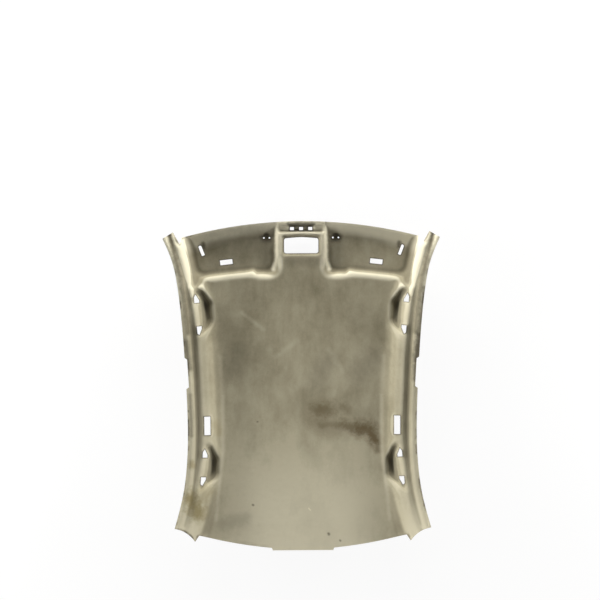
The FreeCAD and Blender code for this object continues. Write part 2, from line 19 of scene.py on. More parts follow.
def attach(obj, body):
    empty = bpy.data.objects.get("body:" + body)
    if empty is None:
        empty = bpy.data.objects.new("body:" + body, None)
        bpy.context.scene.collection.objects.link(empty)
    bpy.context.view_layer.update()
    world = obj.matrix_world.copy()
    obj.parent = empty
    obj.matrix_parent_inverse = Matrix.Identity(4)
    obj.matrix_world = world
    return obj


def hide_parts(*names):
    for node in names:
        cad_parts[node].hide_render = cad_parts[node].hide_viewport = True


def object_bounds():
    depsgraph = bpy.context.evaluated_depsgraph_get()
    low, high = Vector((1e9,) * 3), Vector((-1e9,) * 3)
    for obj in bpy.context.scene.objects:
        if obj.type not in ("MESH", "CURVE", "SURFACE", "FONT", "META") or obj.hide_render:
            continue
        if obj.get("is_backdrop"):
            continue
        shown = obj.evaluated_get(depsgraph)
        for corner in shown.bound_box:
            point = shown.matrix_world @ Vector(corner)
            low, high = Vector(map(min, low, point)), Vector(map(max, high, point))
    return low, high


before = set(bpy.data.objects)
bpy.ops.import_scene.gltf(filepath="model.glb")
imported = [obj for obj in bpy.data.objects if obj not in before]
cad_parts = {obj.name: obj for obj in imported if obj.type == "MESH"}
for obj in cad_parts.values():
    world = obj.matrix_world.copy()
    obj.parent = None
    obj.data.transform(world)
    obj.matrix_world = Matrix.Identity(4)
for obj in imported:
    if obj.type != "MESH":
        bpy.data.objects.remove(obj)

solid_box = [list(corner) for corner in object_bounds()]
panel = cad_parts["headliner_panel"]
print("solid:", len(panel.data.polygons), "facets")

# %% [markdown]
# ## Where the sheet ends
# The panel was pressed straight down, so its cut edges stand upright, and every facet that leans
# upward belongs to the lined face. An edge with only one such facet beside it lies on the trim
# line or round a hole. Chained one after another, these edges give the outline and every hole
# exactly, which is safer than typing them a second time. Where the solid steps down very steeply
# or laps over itself in a narrow strip, the loop is long and thin. The real fabric runs on over
# such a place, so those loops aren't rims, and the sheet bridges them.

# %% Find the lined face and its rims
UPWARD = 0.05

solid = bmesh.new()
solid.from_mesh(panel.data)
bmesh.ops.remove_doubles(solid, verts=solid.verts, dist=1e-5)
solid.normal_update()
lined_facets = [face for face in solid.faces if face.normal.z > UPWARD]
lined = set(lined_facets)
rim_edges = [edge for edge in solid.edges if sum(face in lined for face in edge.link_faces) == 1]


def chained(edges):
    """Loops of points through edges that meet end to end."""
    ways = {}
    for edge in edges:
        for here, there in (edge.verts, reversed(edge.verts)):
            ways.setdefault(here, []).append(there)
    loops = []
    while ways:
        start = next(iter(ways))
        loop, here = [], start
        while here in ways:
            loop.append(here.co.copy())
            onward = [other for other in ways.pop(here) if other in ways]
            here = onward[0] if onward else start
        loops.append(loop)
    return loops


def roundness(loop):
    """One for a circle and near nothing for a slit."""
    pairs = list(zip(loop, loop[1:] + loop[:1]))
    length = sum((end.xy - start.xy).length for start, end in pairs)
    area = abs(sum(start.x * end.y - end.x * start.y for start, end in pairs)) / 2
    return 4 * math.pi * area / length**2 if length else 0.0


LEAST_ROUNDNESS = 0.2

loops = chained(rim_edges)
rims = [loop for loop in loops if roundness(loop) > LEAST_ROUNDNESS]
steps = [loop for loop in loops if roundness(loop) <= LEAST_ROUNDNESS]
print("rims:", len(rims), "with", sum(map(len, rims)), "points;", len(steps), "steps bridged")

# %% [markdown]
# ## An even mesh for cloth
# A solid's facets are long and thin on gentle curves, and cloth shaded on them looks creased.
# The lined face is covered with evenly spread points instead, closer together where the press
# made small features, and joined to the rims by a Delaunay triangulation, which keeps every
# triangle as plump as it can. A voxel remesh would also give even faces, but it would round the
# thin cut edge away.

# %% Spread the points
SPACING = 0.0065
FINE_SPACING = 0.0032
NEAREST_SHARE = 0.55  # of the spacing, which a spread point keeps away from a rim
FINE_ZONES = [(-0.118, 0.118, 0.578, 0.745), (0.118, 0.19, 0.628, 0.70), (-0.19, -0.118, 0.628, 0.70)]


def divided(loop, spacing):
    """The loop's points, with more on any side that is longer than the spacing."""
    points = []
    for start, end in zip(loop, loop[1:] + loop[:1]):
        steps = max(1, math.ceil((end.xy - start.xy).length / spacing))
        points += [start.lerp(end, step / steps) for step in range(steps)]
    return points


def is_fine(x, y):
    return any(x0 < x < x1 and y0 < y < y1 for x0, x1, y0, y1 in FINE_ZONES)


def staggered(spacing, wanted):
    """Rows of points over the panel's box, every second row moved by half a step."""
    low, high = solid_box
    row_height = spacing * math.sqrt(3) / 2
    points = []
    for row in range(int((high[1] - low[1]) / row_height)):
        y = low[1] + row * row_height
        shift = spacing / 2 if row % 2 else 0.0
        for column in range(int((high[0] - low[0]) / spacing)):
            x = low[0] + shift + column * spacing
            if wanted(x, y):
                points.append((x, y))
    return points


def spacing_at(x, y):
    return FINE_SPACING if is_fine(x, y) else SPACING


rim_points = [divided(loop, spacing_at(*loop[0].xy)) for loop in rims]
spread = staggered(SPACING, lambda x, y: not is_fine(x, y)) + staggered(FINE_SPACING, is_fine)
print("rim points:", sum(map(len, rim_points)), "- spread points:", len(spread))

# %% Keep the points that lie on the sheet


def on_sheet(points):
    """True for each point that has the sheet under it: an odd number of rims to one side."""
    points = np.asarray(points)
    inside = np.zeros(len(points), bool)
    for loop in rim_points:
        corners = np.array([point.xy for point in loop])
        low, high = corners.min(0), corners.max(0)
        near = np.flatnonzero(((points > low) & (points < high)).all(axis=1))
        x, y = points[near, 0], points[near, 1]
        odd = np.zeros(len(near), bool)
        for (ax, ay), (bx, by) in zip(corners, np.roll(corners, -1, axis=0)):
            crossing = (ay > y) != (by > y)
            odd ^= crossing & (x < ax + (bx - ax) * (y - ay) / (by - ay if by != ay else 1.0))
        inside[near] ^= odd
    return inside


def gaps_to(loops, places):
    """Each place's distance to the nearest point of the loops, seen from above."""
    points = [point for loop in loops for point in loop]
    tree = kdtree.KDTree(len(points))
    for index, point in enumerate(points):
        tree.insert((point.x, point.y, 0.0), index)
    tree.balance()
    return np.array([tree.find((x, y, 0.0))[2] for x, y in places])


rim_gaps = gaps_to(rim_points, spread)
kept = [
    point
    for point, inside, gap in zip(spread, on_sheet(spread), rim_gaps)
    if inside and gap > NEAREST_SHARE * spacing_at(*point)
]
print("points on the sheet:", len(kept))

# %% Join them into triangles
flat_points = [point.xy for loop in rim_points for point in loop] + [Vector(point) for point in kept]
rim_sides, first = [], 0
for loop in rim_points:
    count = len(loop)
    rim_sides += [(first + step, first + (step + 1) % count) for step in range(count)]
    first += count
rim_count = first
net = delaunay_2d_cdt(flat_points, rim_sides, [], 0, 1e-7)
flat = np.array([point[:] for point in net[0]])
triangles = np.array([face[:] for face in net[2]])
triangles = triangles[on_sheet(flat[triangles].mean(axis=1))]
sources = [origin[0] if origin else -1 for origin in net[3]]
print("triangles on the lined face:", len(triangles))

# %% [markdown]
# ## Heights, then the softness of padding
# Each point takes its height from the solid, straight below it. Fabric on foam can't follow a
# sharp bend: it bridges the corner in a small radius. Letting every height drift towards its
# neighbours' mean a few times does the same, while the outline keeps its place. A faint random
# unevenness stands for a sheet that has been handled and leant against walls.

# %% Read the heights from the solid
lined_tree = BVHTree.FromPolygons(
    [vert.co for vert in solid.verts], [[vert.index for vert in face.verts] for face in lined_facets]
)
rim_heights = [point.z for loop in rim_points for point in loop]
heights = np.zeros(len(flat))
for index, (x, y) in enumerate(flat):
    source = sources[index]
    if 0 <= source < rim_count:
        heights[index] = rim_heights[source]
        continue
    spot = lined_tree.ray_cast(Vector((x, y, 1.0)), Vector((0, 0, -1)))[0]
    heights[index] = (spot or lined_tree.find_nearest(Vector((x, y, 0.05)))[0]).z

# %% Let the padding round the bends
EASING_SHARE = 0.6
EASING_ROUNDS = 3
STEP_ROUNDS = 14
STEP_REACH = 0.016
UNEVENNESS = 0.0007

corner_pairs = np.concatenate([triangles[:, [0, 1]], triangles[:, [1, 2]], triangles[:, [2, 0]]])
sides, uses = np.unique(np.sort(corner_pairs, axis=1), axis=0, return_counts=True)
on_rim = np.zeros(len(flat), bool)
on_rim[sides[uses == 1].ravel()] = True
links = np.concatenate([sides, sides[:, ::-1]])
share = np.bincount(links[:, 0], minlength=len(flat))


def eased(values, where, rounds):
    """Values drawn towards the mean of their neighbours, where that is wanted."""
    for _ in range(rounds):
        total = np.bincount(links[:, 0], weights=values[links[:, 1]], minlength=len(flat))
        values = np.where(where, values + EASING_SHARE * (total / share - values), values)
    return values


by_step = gaps_to([divided(loop, SPACING) for loop in steps], flat) < STEP_REACH
heights = eased(heights, by_step & ~on_rim, STEP_ROUNDS)
heights = eased(heights, ~on_rim, EASING_ROUNDS)
for index, (x, y) in enumerate(flat):
    heights[index] += UNEVENNESS * noise.noise(Vector((x * 9, y * 7, 0.0)))
print("eased", EASING_ROUNDS, "times; heights", heights.min().round(4), "to", heights.max().round(4), "m")

# %% [markdown]
# ## Raised bends, hollows and rims
# How far each point stands above the mean of its surroundings tells raised bends from hollows, and
# the finish paints highlight on the raised ones and shade in the hollows. The distance to the
# nearest hole or to the trimmed outline tells where the fabric is darkened round the rims. All
# three are kept on the mesh as named values that the fabric's finish can read.

# %% Values for the finish
RELIEF_ROUNDS = 24

relief = heights - eased(heights, True, RELIEF_ROUNDS)
outline = max(rim_points, key=len)
finish_values = {
    "relief": relief,
    "hole_gap": gaps_to([loop for loop in rim_points if loop is not outline], flat),
    "edge_gap": gaps_to([outline], flat),
}
for name, values in finish_values.items():
    print(name, values.min().round(4), "to", values.max().round(4), "m")

# %% [markdown]
# ## One sheet with two faces and a cut edge
# The roof side is the lined face moved straight down by the sheet's thickness, and a strip of
# quads along every rim is the cut edge. Three material slots tell the fabric, the cut fibre core
# and the fleece of the roof side apart. The trim edge stays sharp and all else shades smooth.

# %% Build the sheet
THICKNESS = 0.006


def pressed_sheet(name):
    top = np.column_stack([flat, heights])
    bottom = top - (0, 0, THICKNESS)
    count = len(top)
    turned = triangles[:, ::-1]
    corners = flat[triangles]
    across = corners[:, 1] - corners[:, 0]
    along = corners[:, 2] - corners[:, 0]
    upward = across[:, 0] * along[:, 1] - across[:, 1] * along[:, 0] > 0
    lined_side = np.where(upward[:, None], triangles, turned)
    edges = np.concatenate([lined_side[:, [0, 1]], lined_side[:, [1, 2]], lined_side[:, [2, 0]]])
    keys = np.sort(edges, axis=1)
    _, first_seen, seen = np.unique(keys, axis=0, return_index=True, return_counts=True)
    rim = edges[first_seen[seen == 1]]
    walls = np.column_stack([rim[:, 1], rim[:, 0], rim[:, 0] + count, rim[:, 1] + count])
    roof_side = lined_side[:, ::-1] + count
    mesh = bpy.data.meshes.new(name)
    faces = lined_side.tolist() + roof_side.tolist() + walls.tolist()
    mesh.from_pydata(np.concatenate([top, bottom]).tolist(), [], faces)
    slots = [0] * len(lined_side) + [2] * len(roof_side) + [1] * len(walls)
    mesh.polygons.foreach_set("material_index", slots)
    for label, values in finish_values.items():
        mesh.attributes.new(label, "FLOAT", "POINT").data.foreach_set("value", np.tile(values, 2))
    mesh.shade_smooth()
    mesh.set_sharp_from_angle(angle=math.radians(50))
    sheet = bpy.data.objects.new(name, mesh)
    bpy.context.scene.collection.objects.link(sheet)
    return sheet


lining = pressed_sheet("pressed_lining")
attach(lining, "root")
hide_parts("headliner_panel")
print("sheet:", sum(len(face.vertices) - 2 for face in lining.data.polygons), "triangles")

# %% [markdown]
# ## Helpers for shader nodes
# A finish is a small network of nodes. The helpers below only save typing: one adds a node and
# fills its sockets, and one starts a group with named inputs and outputs, which can then be
# placed in several materials with other values.

# %% Node helpers


def add_node(tree, kind, values=None, **settings):
    node = tree.nodes.new(kind)
    for key, value in settings.items():
        setattr(node, key, value)
    for key, value in (values or {}).items():
        if isinstance(value, bpy.types.NodeSocket):
            tree.links.new(value, node.inputs[key])
        else:
            node.inputs[key].default_value = value
    return node


def sums(tree, operation, first, second=0.0, third=0.0, clamp=False):
    """One step of arithmetic on values."""
    values = {0: first, 1: second, 2: third}
    return add_node(tree, "ShaderNodeMath", values, operation=operation, use_clamp=clamp).outputs[0]


def moves(tree, operation, first, second=(0.0, 0.0, 0.0)):
    """One step of arithmetic on positions."""
    node = add_node(tree, "ShaderNodeVectorMath", {0: first, 1: second}, operation=operation)
    return node.outputs["Value" if operation in ("LENGTH", "DOT_PRODUCT") else "Vector"]


def blended(tree, share, first, second, how="MIX"):
    node = tree.nodes.new("ShaderNodeMix")
    node.data_type = "RGBA"
    node.blend_type = how
    for socket, value in ((node.inputs[0], share), (node.inputs[6], first), (node.inputs[7], second)):
        if isinstance(value, bpy.types.NodeSocket):
            tree.links.new(value, socket)
        else:
            socket.default_value = value
    return node.outputs[2]


def cloud(tree, position, scale, detail=3.0, roughness=0.55):
    """Soft random values round one half."""
    values = {"Vector": position, "Scale": scale, "Detail": detail, "Roughness": roughness}
    return add_node(tree, "ShaderNodeTexNoise", values).outputs[0]


def spanned(tree, value, low, high, start=0.0, end=1.0):
    """Value eased from start to end while it runs from low to high."""
    values = {"Value": value, "From Min": low, "From Max": high, "To Min": start, "To Max": end}
    node = add_node(tree, "ShaderNodeMapRange", values, interpolation_type="SMOOTHSTEP")
    return node.outputs[0]


def new_group(name, inputs, outputs):
    group = bpy.data.node_groups.new(name, "ShaderNodeTree")
    for label, kind, default in inputs:
        socket = group.interface.new_socket(label, in_out="INPUT", socket_type=kind)
        if default is not None:
            socket.default_value = default
    for label, kind in outputs:
        group.interface.new_socket(label, in_out="OUTPUT", socket_type=kind)
    return group, group.nodes.new("NodeGroupInput").outputs, group.nodes.new("NodeGroupOutput").inputs


def placed_group(tree, group, values):
    node = add_node(tree, "ShaderNodeGroup", node_tree=group)
    for key, value in values.items():
        if isinstance(value, bpy.types.NodeSocket):
            tree.links.new(value, node.inputs[key])
        else:
            node.inputs[key].default_value = value
    return node.outputs


def srgb(red, green, blue):
    """Colour from screen values of 0 to 255, as a painter would pick it."""
    steps = [value / 255 for value in (red, green, blue)]
    return [s / 12.92 if s <= 0.04045 else ((s + 0.055) / 1.055) ** 2.4 for s in steps] + [1.0]


# %% [markdown]
# ## Knit, mottling and marks
# Three effects come back in several places, so each is a group. The knit is two crossed waves
# with fibre noise. Mottling is the cloudiness of a cloth that has gathered dust for years. A mark
# is what a wet finger or a leak leaves: the distance to a short stroke, made ragged by noise, so
# that one group draws round blobs and long tide lines alike.

# %% Group: fine knit
FLOAT, VECTOR = "NodeSocketFloat", "NodeSocketVector"
knit, given, out = new_group(
    "fine_knit", [("Position", VECTOR, None), ("Loops per metre", FLOAT, 620.0)], [("Height", FLOAT)]
)
course = moves(knit, "MULTIPLY", given["Position"], (1.0, 0.7, 1.0))
waves = []
for direction in ("X", "Y"):
    wave = add_node(
        knit,
        "ShaderNodeTexWave",
        {"Vector": course, "Scale": given["Loops per metre"], "Distortion": 1.5, "Detail": 1.0},
        bands_direction=direction,
    )
    waves.append(wave.outputs["Fac"])
stitches = sums(knit, "MULTIPLY", waves[0], waves[1])
fibre = cloud(knit, given["Position"], 900.0, 4.0, 0.7)
knit.links.new(sums(knit, "ADD", sums(knit, "MULTIPLY", stitches, 0.6), fibre), out["Height"])

# %% Group: mottling
mottling, given, out = new_group(
    "dust_mottling", [("Position", VECTOR, None), ("Depth", FLOAT, 1.0)], [("Mask", FLOAT)]
)
wide = spanned(mottling, cloud(mottling, given["Position"], 3.2, 5.0, 0.6), 0.36, 0.68)
stretched = moves(mottling, "MULTIPLY", given["Position"], (1.0, 0.45, 1.0))
small = spanned(mottling, cloud(mottling, stretched, 17.0, 6.0, 0.65), 0.34, 0.70)
grain = cloud(mottling, given["Position"], 130.0, 4.0, 0.7)
both = sums(mottling, "ADD", sums(mottling, "MULTIPLY", wide, 0.55), sums(mottling, "MULTIPLY", small, 0.3))
both = sums(mottling, "ADD", both, sums(mottling, "MULTIPLY", grain, 0.3))
mottling.links.new(sums(mottling, "MULTIPLY", both, given["Depth"], clamp=True), out["Mask"])

# %% Group: one mark
mark, given, out = new_group(
    "stroke_mark",
    [
        ("Position", VECTOR, None),
        ("Start", VECTOR, None),
        ("End", VECTOR, None),
        ("Width", FLOAT, 0.02),
        ("Ragged", FLOAT, 0.5),
        ("Strength", FLOAT, 1.0),
    ],
    [("Mask", FLOAT)],
)
level = moves(mark, "MULTIPLY", given["Position"], (1.0, 1.0, 0.0))
run = moves(mark, "SUBTRACT", given["End"], given["Start"])
from_start = moves(mark, "SUBTRACT", level, given["Start"])
run_square = sums(mark, "ADD", moves(mark, "DOT_PRODUCT", run, run), 1e-9)
along_run = sums(mark, "DIVIDE", moves(mark, "DOT_PRODUCT", from_start, run), run_square, clamp=True)
scaled = add_node(mark, "ShaderNodeVectorMath", {0: run}, operation="SCALE")
mark.links.new(along_run, scaled.inputs["Scale"])
away = moves(mark, "LENGTH", moves(mark, "SUBTRACT", from_start, scaled.outputs[0]))
ragged = sums(mark, "SUBTRACT", cloud(mark, given["Position"], 42.0, 6.0, 0.65), 0.5)
ragged = sums(mark, "MULTIPLY", ragged, given["Ragged"])
reach = sums(mark, "ADD", sums(mark, "DIVIDE", away, given["Width"]), sums(mark, "MULTIPLY", ragged, 1.8))
shape = spanned(mark, reach, 0.0, 1.35, 1.0, 0.0)
mark.links.new(sums(mark, "MULTIPLY", shape, given["Strength"]), out["Mask"])
print("groups:", [group.name for group in bpy.data.node_groups])

# %% [markdown]
# ## The lining's finish
# The fabric is a greyish beige knit. Its colour is painted paler towards the rear and on the rails,
# the front strip and raised bends, as painted highlight, and painted darker in hollows, grooves and
# some recesses, as painted shade. It carries brown tide marks from a leak, an olive bloom in one rear
# corner, and grime along the cut sides. Each mark is its start, end, width and strength, in
# metres from the panel's middle. What is alike on both sides is written once and mirrored. That
# keeps the list short, and it has to be: with a third more marks the whole panel renders black.
# Cloth has almost no mirror shine, only a soft sheen at grazing angles, so the
# roughness is high and the sheen is a plain number on the shader.

# %% The marks on the lining
BROWN_MARKS = [
    ((0.070, -0.116), (0.112, -0.112), 0.052, 0.66),
    ((0.182, -0.096), (0.204, -0.112), 0.028, 0.42),
    ((0.060, -0.150), (0.120, -0.190), 0.058, 0.30),
    ((0.083, -0.182), (0.181, -0.176), 0.026, 0.50),
    ((0.181, -0.176), (0.247, -0.196), 0.032, 0.70),
    ((0.247, -0.196), (0.304, -0.196), 0.044, 0.90),
    ((0.296, -0.200), (0.330, -0.250), 0.036, 0.92),
    ((0.330, -0.250), (0.337, -0.290), 0.024, 0.60),
]
OLIVE_MARKS = [
    ((-0.500, -0.500), (-0.470, -0.560), 0.050, 0.80),
    ((-0.455, -0.500), (-0.430, -0.470), 0.045, 0.40),
    ((-0.498, -0.345), (-0.496, -0.355), 0.022, 0.55),
    ((-0.395, -0.165), (-0.375, -0.205), 0.030, 0.30),
]
# Painted shade: dark strokes down the groove inside each ear's outer lip.
PAIRED_GROOVE_SHADE_MARKS = [
    ((0.593, 0.700), (0.567, 0.590), 0.014, 0.90),
    ((0.567, 0.590), (0.542, 0.490), 0.014, 0.88),
    ((0.542, 0.490), (0.523, 0.380), 0.014, 0.80),
    ((0.523, 0.380), (0.506, 0.240), 0.014, 0.70),
]
# A dark spot beside each visor pivot slot, and painted shade in each visor clip seat.
PAIRED_SEAT_SHADE_AND_DARK_MARKS = [
    ((0.437, 0.622), (0.440, 0.640), 0.012, 0.72),
    ((0.148, 0.664), (0.162, 0.664), 0.024, 0.75),
]
# Grime and specks, and painted shade: the strip along the front of the sensor recess, the strip above the
# console opening, the wide patch on the left visor recess floor and the patch in the rear left corner.
GRIME_AND_SHADE_MARKS = [
    ((0.530, 0.230), (0.512, 0.110), 0.024, 0.85),
    ((0.508, 0.090), (0.505, 0.030), 0.016, 0.70),
    ((0.556, 0.430), (0.528, 0.240), 0.016, 0.70),
    ((-0.520, 0.200), (-0.500, 0.080), 0.016, 0.55),
    ((-0.500, -0.040), (-0.495, -0.220), 0.012, 0.40),
    ((-0.360, -0.618), (-0.260, -0.596), 0.040, 0.24),
    ((-0.225, -0.534), (-0.222, -0.536), 0.006, 0.75),
    ((0.115, -0.664), (0.117, -0.668), 0.007, 0.75),
    ((0.166, -0.695), (0.168, -0.697), 0.006, 0.60),
    ((-0.200, -0.162), (-0.203, -0.163), 0.005, 0.60),
    ((-0.056, 0.722), (0.056, 0.722), 0.012, 0.85),
    ((-0.090, 0.690), (0.090, 0.690), 0.012, 0.40),
    ((-0.200, 0.650), (-0.380, 0.620), 0.110, 0.30),
    ((-0.400, 0.640), (-0.420, 0.600), 0.040, 0.35),
    ((0.060, 0.020), (0.110, 0.100), 0.060, 0.28),
    ((-0.330, 0.060), (-0.290, 0.150), 0.060, 0.22),
    ((0.330, 0.120), (0.250, 0.060), 0.070, 0.22),
    ((-0.060, 0.560), (0.080, 0.555), 0.030, 0.30),
]
# Painted highlight on the inner wall of each visor recess, and pale lines along the creases at the feet of
# the rails.
PAIRED_HIGHLIGHT_AND_PALE_MARKS = [
    ((0.109, 0.700), (0.109, 0.575), 0.013, 0.95),
    ((0.109, 0.575), (0.125, 0.525), 0.012, 0.90),
    ((0.367, 0.130), (0.356, -0.043), 0.013, 0.15),
    ((0.356, -0.043), (0.356, -0.290), 0.012, 0.26),
    ((0.356, -0.290), (0.390, -0.600), 0.011, 0.26),
]
PALE_MARKS = [
    ((0.027, -0.552), (0.034, -0.560), 0.0035, 0.90),
    ((-0.270, 0.330), (-0.170, 0.250), 0.012, 0.16),
    ((-0.120, 0.130), (-0.020, 0.200), 0.016, 0.10),
    ((0.120, 0.160), (0.180, 0.060), 0.016, 0.08),
]


def all_marks(tree, position, marks, ragged):
    """The strongest of several marks at each point."""
    mask = None
    for start, end, width, strength in marks:
        values = {"Position": position, "Start": (*start, 0.0), "End": (*end, 0.0), "Width": width}
        values.update({"Ragged": ragged, "Strength": strength})
        one = placed_group(tree, mark, values)["Mask"]
        mask = one if mask is None else sums(tree, "MAXIMUM", mask, one)
    return mask


plain_marks = (BROWN_MARKS, OLIVE_MARKS, GRIME_AND_SHADE_MARKS, PALE_MARKS)
paired_marks = (PAIRED_GROOVE_SHADE_MARKS, PAIRED_SEAT_SHADE_AND_DARK_MARKS, PAIRED_HIGHLIGHT_AND_PALE_MARKS)
print("marks:", sum(map(len, plain_marks)), "- mirrored marks:", sum(map(len, paired_marks)))

# %% Material: soiled knit fabric
FABRIC = srgb(172, 165, 141)
FABRIC_DUSTY = srgb(124, 117, 94)
# Pale tone, used for painted highlight and for pale scuffs and scratches.
PALE_AND_HIGHLIGHT = srgb(222, 216, 192)
# Painted shade in hollows and grooves.
HOLLOW_SHADE = srgb(92, 85, 66)
FRONT_ARC = 0.40  # the front edge lies back by this times the square of the way from the middle
STAIN_BROWN = srgb(96, 82, 54)
STAIN_OLIVE = srgb(122, 110, 68)
# Grime, and painted shade in recesses, seats and slots.
GRIME_AND_SHADE = srgb(70, 64, 50)


def new_material(name):
    material = bpy.data.materials.new(name)
    material.use_nodes = True
    tree = material.node_tree
    shader = tree.nodes["Principled BSDF"]
    position = add_node(tree, "ShaderNodeTexCoord").outputs["Object"]
    return material, tree, shader, position


def with_relief(tree, shader, height, depth, strength=1.0):
    bump = add_node(tree, "ShaderNodeBump", {"Height": height, "Distance": depth, "Strength": strength})
    tree.links.new(bump.outputs[0], shader.inputs["Normal"])


def mesh_value(tree, label):
    return add_node(tree, "ShaderNodeAttribute", attribute_name=label).outputs["Fac"]


def painted_highlights(tree, axes, outward):
    """Painted highlight: paler colour on the high rails, the front strip, the rear middle and raised bends.
    """
    rail = spanned(tree, outward, 0.36, 0.50)
    rise = spanned(tree, axes["Z"], 0.05, 0.13)
    high = sums(tree, "MULTIPLY", sums(tree, "MULTIPLY", rail, rise), 0.35)
    arc = sums(tree, "MULTIPLY", sums(tree, "MULTIPLY", axes["X"], axes["X"]), FRONT_ARC)
    front = spanned(tree, sums(tree, "ADD", axes["Y"], arc), 0.675, 0.730, 0.0, 0.75)
    middle = spanned(tree, outward, 0.15, 0.48, 0.5, 0.0)
    back = sums(tree, "MULTIPLY", spanned(tree, axes["Y"], -0.10, -0.62), middle)
    ahead = spanned(tree, axes["Y"], 0.30, 0.46, 0.30, 1.0)
    raised = spanned(tree, mesh_value(tree, "relief"), 0.0004, 0.0028, 0.0, 0.9)
    raised = sums(tree, "MULTIPLY", raised, ahead)
    wide = sums(tree, "MAXIMUM", high, sums(tree, "MAXIMUM", front, back))
    return sums(tree, "MAXIMUM", wide, raised)


def darkened_rims(tree, position, outward):
    """Where the fabric is darker: round the holes, and in patches on the side edges."""
    fray = sums(tree, "MULTIPLY", cloud(tree, position, 60.0, 4.0, 0.6), 0.006)
    hole_gap = sums(tree, "SUBTRACT", mesh_value(tree, "hole_gap"), fray)
    by_hole = spanned(tree, hole_gap, -0.002, 0.003, 0.80, 0.0)
    patches = spanned(tree, cloud(tree, position, 9.0, 4.0, 0.6), 0.50, 0.66, 0.0, 0.85)
    patches = sums(tree, "MULTIPLY", patches, spanned(tree, outward, 0.45, 0.50))
    edge_gap = sums(tree, "SUBTRACT", mesh_value(tree, "edge_gap"), fray)
    by_edge = sums(tree, "MULTIPLY", spanned(tree, edge_gap, 0.0, 0.008, 1.0, 0.0), patches)
    return sums(tree, "MAXIMUM", by_hole, by_edge)


def soiled_fabric():
    material, tree, shader, position = new_material("soiled_knit_fabric")
    axes = add_node(tree, "ShaderNodeSeparateXYZ", {0: position}).outputs
    outward = sums(tree, "ABSOLUTE", axes["X"])
    dust = placed_group(tree, mottling, {"Position": position, "Depth": 1.0})["Mask"]
    # Painted light: the dust is thinned towards the rear, so the rear is painted paler, as where the crown
    # faces the front light.
    rear = spanned(tree, axes["Y"], 0.45, -0.55)
    dust = sums(tree, "SUBTRACT", dust, sums(tree, "MULTIPLY", rear, 0.42), clamp=True)
    colour = blended(tree, dust, FABRIC, FABRIC_DUSTY)
    # Painted highlight: the rails, front strip, rear middle and raised bends are painted paler.
    colour = blended(tree, painted_highlights(tree, axes, outward), colour, PALE_AND_HIGHLIGHT)
    # Painted shade: hollows, where the relief value falls below zero, are painted darker.
    sunk = spanned(tree, mesh_value(tree, "relief"), -0.0006, -0.0040, 0.0, 0.60)
    colour = blended(tree, sunk, colour, HOLLOW_SHADE)
    mirrored = {0: outward, 1: axes["Y"], 2: axes["Z"]}
    paired = add_node(tree, "ShaderNodeCombineXYZ", mirrored).outputs[0]
    # Some of these marks are painted shade and painted highlight, as their lists say.
    for marks, place, ragged, tone in (
        (BROWN_MARKS, position, 0.9, STAIN_BROWN),
        (OLIVE_MARKS, position, 0.9, STAIN_OLIVE),
        (PAIRED_GROOVE_SHADE_MARKS, paired, 0.6, HOLLOW_SHADE),
        (PAIRED_SEAT_SHADE_AND_DARK_MARKS, paired, 0.6, GRIME_AND_SHADE),
        (GRIME_AND_SHADE_MARKS, position, 0.7, GRIME_AND_SHADE),
        (PALE_MARKS, position, 0.9, PALE_AND_HIGHLIGHT),
        (PAIRED_HIGHLIGHT_AND_PALE_MARKS, paired, 0.6, PALE_AND_HIGHLIGHT),
    ):
        colour = blended(tree, all_marks(tree, place, marks, ragged), colour, tone)
    colour = blended(tree, darkened_rims(tree, position, outward), colour, GRIME_AND_SHADE)
    tree.links.new(colour, shader.inputs["Base Color"])
    weave = placed_group(tree, knit, {"Position": position})["Height"]
    lumps = cloud(tree, position, 38.0, 4.0, 0.6)
    height = sums(tree, "ADD", sums(tree, "MULTIPLY", weave, 0.25), lumps)
    with_relief(tree, shader, height, 0.0016, 0.55)
    rough = spanned(tree, dust, 0.0, 1.0, 0.90, 1.0)
    tree.links.new(rough, shader.inputs["Roughness"])
    shader.inputs["Specular IOR Level"].default_value = 0.15
    shader.inputs["Sheen Weight"].default_value = 0.12
    shader.inputs["Sheen Roughness"].default_value = 0.6
    return material


lining.data.materials.append(soiled_fabric())

# %% [markdown]
# ## Cut edge and roof side
# Where the panel was trimmed, the core shows as a dark, fibrous line between the fabric and the
# fleece. The roof side is a pale, matt fleece with long fibres and the cloudy print of the binder
# that was pressed through it.

# %% Materials: cut core and roof-side fleece
CORE = srgb(66, 60, 48)
CORE_PALE = srgb(112, 104, 84)
FLEECE = srgb(168, 163, 150)
FLEECE_BOUND = srgb(128, 122, 106)


def cut_core():
    material, tree, shader, position = new_material("cut_fibre_core")
    strands = cloud(tree, moves(tree, "MULTIPLY", position, (1.0, 1.0, 6.0)), 260.0, 5.0, 0.7)
    dust = placed_group(tree, mottling, {"Position": position, "Depth": 0.8})["Mask"]
    colour = blended(tree, spanned(tree, strands, 0.4, 0.65), CORE, CORE_PALE)
    tree.links.new(blended(tree, dust, colour, CORE), shader.inputs["Base Color"])
    with_relief(tree, shader, strands, 0.0012)
    shader.inputs["Roughness"].default_value = 0.95
    shader.inputs["Specular IOR Level"].default_value = 0.2
    return material


